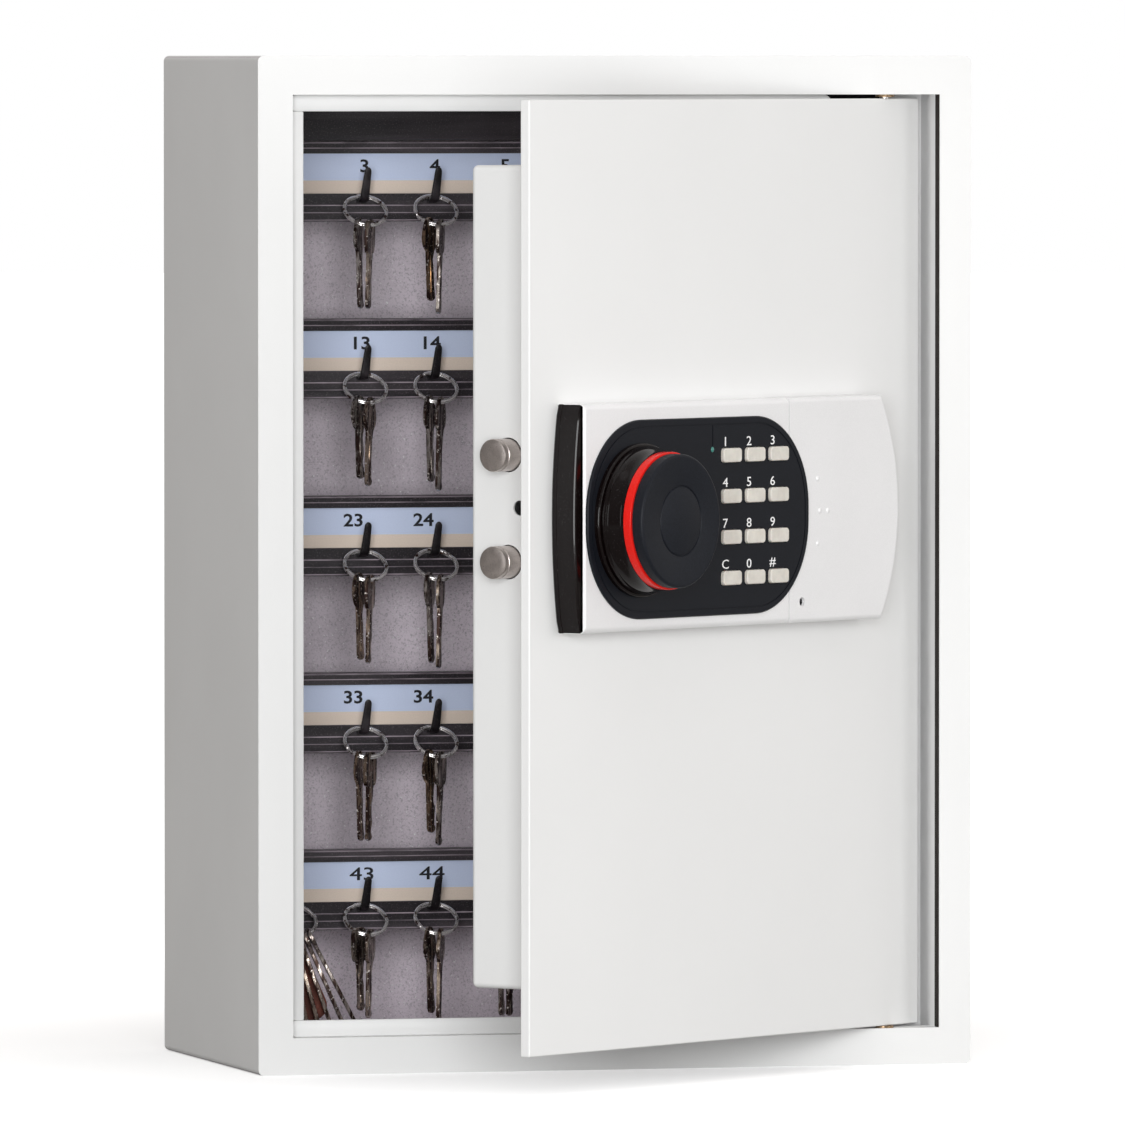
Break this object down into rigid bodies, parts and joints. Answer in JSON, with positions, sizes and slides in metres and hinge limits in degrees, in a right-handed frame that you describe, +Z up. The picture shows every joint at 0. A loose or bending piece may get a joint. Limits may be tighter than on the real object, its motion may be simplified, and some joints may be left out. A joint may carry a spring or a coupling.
{
  "type": "key cabinet",
  "caption": "Wall-mounted steel key cabinet with numbered hook bars, a pivot-hung thick steel door and an electronic keypad lock whose knob throws round locking bolts.",
  "frame": {"origin": "centre of the four wall fixing holes, on the rear face", "axes": "+X to the right seen from the front, +Y into the wall, -Y out of the front, +Z up"},
  "size_m": [0.4, 0.4344, 0.55],
  "materials": {
    "painted_light": "light grey powder coat",
    "inner_painted": "grey powder coat",
    "black_painted": "black enamel",
    "label_card": "printed strip, blue over beige",
    "ring_steel": "nickel plated wire",
    "key_brass": "worn nickel over brass",
    "fob_leather": "worn tan-red hide",
    "bush_brass": "turned",
    "steel": "turned and brushed",
    "guide_plastic": "moulded",
    "solenoid_case": "zinc plated",
    "lock_silver": "satin silver lacquer",
    "gloss_black": "gloss black",
    "panel_black": "fine matt black",
    "ring_red": "gloss red",
    "button_ivory": "satin ivory",
    "led_green": "clear tinted lens",
    "board_green": "coated board",
    "mat_rubber": "moulded rubber",
    "cell_sleeve": "printed sleeve",
    "contact_steel": "nickel plated"
  },
  "bodies": {
    "root": {"body_wrap": "painted_light", "back_panel": "painted_light", "front_frame": "painted_light", "door_stops": "painted_light", "hinge_bushes": "bush_brass", "bar_uprights": "inner_painted", "top_rail": "black_painted", "key_bar_1": "black_painted", "key_bar_2": "black_painted", "key_bar_3": "black_painted", "key_bar_4": "black_painted", "key_bar_5": "black_painted", "label_strips": "label_card", "key_hooks": "black_painted", "key_rings": "ring_steel", "keys_row_1": "key_brass", "keys_row_2": "key_brass", "keys_row_3": "key_brass", "keys_row_4": "key_brass", "keys_row_5": "key_brass", "key_bunch": "key_brass", "leather_fob": "fob_leather"},
    "door": {"door_plate": "painted_light", "hinge_pins": "steel", "door_pan": "painted_light", "door_fixings": "steel", "bolt_guides": "guide_plastic", "spindle_bush": "bush_brass", "solenoid_body": "solenoid_case", "lock_housing": "lock_silver", "end_cap": "gloss_black", "battery_tray": "guide_plastic", "batteries": "cell_sleeve", "battery_contacts": "contact_steel", "keypad_panel": "panel_black", "status_led": "led_green", "circuit_board": "board_green", "keypad_mat": "mat_rubber", "knob_collar": "gloss_black"},
    "knob": {"knob_body": "gloss_black", "knob_ring": "ring_red", "knob_cap": "panel_black", "spindle_crank": "steel"},
    "bolts": {"bolt_carriage": "steel", "locking_bolts": "steel"},
    "plunger": {"solenoid_plunger": "steel", "plunger_spring": "steel"},
    "cover": {"battery_cover": "lock_silver"},
    "button_1": {"button_1": "button_ivory"},
    "button_2": {"button_2": "button_ivory"},
    "button_3": {"button_3": "button_ivory"},
    "button_4": {"button_4": "button_ivory"},
    "button_5": {"button_5": "button_ivory"},
    "button_6": {"button_6": "button_ivory"},
    "button_7": {"button_7": "button_ivory"},
    "button_8": {"button_8": "button_ivory"},
    "button_9": {"button_9": "button_ivory"},
    "button_clear": {"button_clear": "button_ivory"},
    "button_0": {"button_0": "button_ivory"},
    "button_hash": {"button_hash": "button_ivory"}
  },
  "joints": [
    {"name": "door_swing", "type": "hinge", "parent": "root", "child": "door", "pos_m": [0.1525, -0.2145, 0], "axis": [0, 0, 1], "range_deg": [-39, 71]},
    {"name": "knob_turn", "type": "hinge", "parent": "door", "child": "knob", "pos_m": [-0.03182, -0.39336, 0.0287], "axis": [0.6293, -0.7771, 0], "range_deg": [0, 90]},
    {"name": "bolt_throw", "type": "slide", "parent": "door", "child": "bolts", "axis": [-0.7771, -0.6293, 0], "range_m": [0, 0.01571]},
    {"name": "plunger_push", "type": "slide", "parent": "door", "child": "plunger", "axis": [0, 0, 1], "range_m": [0, 0.004], "stiffness_N_per_m": 150, "deforming": ["plunger_spring"]},
    {"name": "cover_slide", "type": "slide", "parent": "door", "child": "cover", "axis": [0.7771, 0.6293, 0], "range_m": [0, 0.022]},
    {"name": "press_1", "type": "slide", "parent": "door", "child": "button_1", "axis": [-0.6293, 0.7771, 0], "range_m": [0, 0.0008], "stiffness_N_per_m": 600},
    {"name": "press_2", "type": "slide", "parent": "door", "child": "button_2", "axis": [-0.6293, 0.7771, 0], "range_m": [0, 0.0008], "stiffness_N_per_m": 600},
    {"name": "press_3", "type": "slide", "parent": "door", "child": "button_3", "axis": [-0.6293, 0.7771, 0], "range_m": [0, 0.0008], "stiffness_N_per_m": 600},
    {"name": "press_4", "type": "slide", "parent": "door", "child": "button_4", "axis": [-0.6293, 0.7771, 0], "range_m": [0, 0.0008], "stiffness_N_per_m": 600},
    {"name": "press_5", "type": "slide", "parent": "door", "child": "button_5", "axis": [-0.6293, 0.7771, 0], "range_m": [0, 0.0008], "stiffness_N_per_m": 600},
    {"name": "press_6", "type": "slide", "parent": "door", "child": "button_6", "axis": [-0.6293, 0.7771, 0], "range_m": [0, 0.0008], "stiffness_N_per_m": 600},
    {"name": "press_7", "type": "slide", "parent": "door", "child": "button_7", "axis": [-0.6293, 0.7771, 0], "range_m": [0, 0.0008], "stiffness_N_per_m": 600},
    {"name": "press_8", "type": "slide", "parent": "door", "child": "button_8", "axis": [-0.6293, 0.7771, 0], "range_m": [0, 0.0008], "stiffness_N_per_m": 600},
    {"name": "press_9", "type": "slide", "parent": "door", "child": "button_9", "axis": [-0.6293, 0.7771, 0], "range_m": [0, 0.0008], "stiffness_N_per_m": 600},
    {"name": "press_clear", "type": "slide", "parent": "door", "child": "button_clear", "axis": [-0.6293, 0.7771, 0], "range_m": [0, 0.0008], "stiffness_N_per_m": 600},
    {"name": "press_0", "type": "slide", "parent": "door", "child": "button_0", "axis": [-0.6293, 0.7771, 0], "range_m": [0, 0.0008], "stiffness_N_per_m": 600},
    {"name": "press_hash", "type": "slide", "parent": "door", "child": "button_hash", "axis": [-0.6293, 0.7771, 0], "range_m": [0, 0.0008], "stiffness_N_per_m": 600}
  ],
  "couplings": [
    {"joint": "bolt_throw", "follows": "knob_turn", "m_per_rad": 0.01}
  ]
}
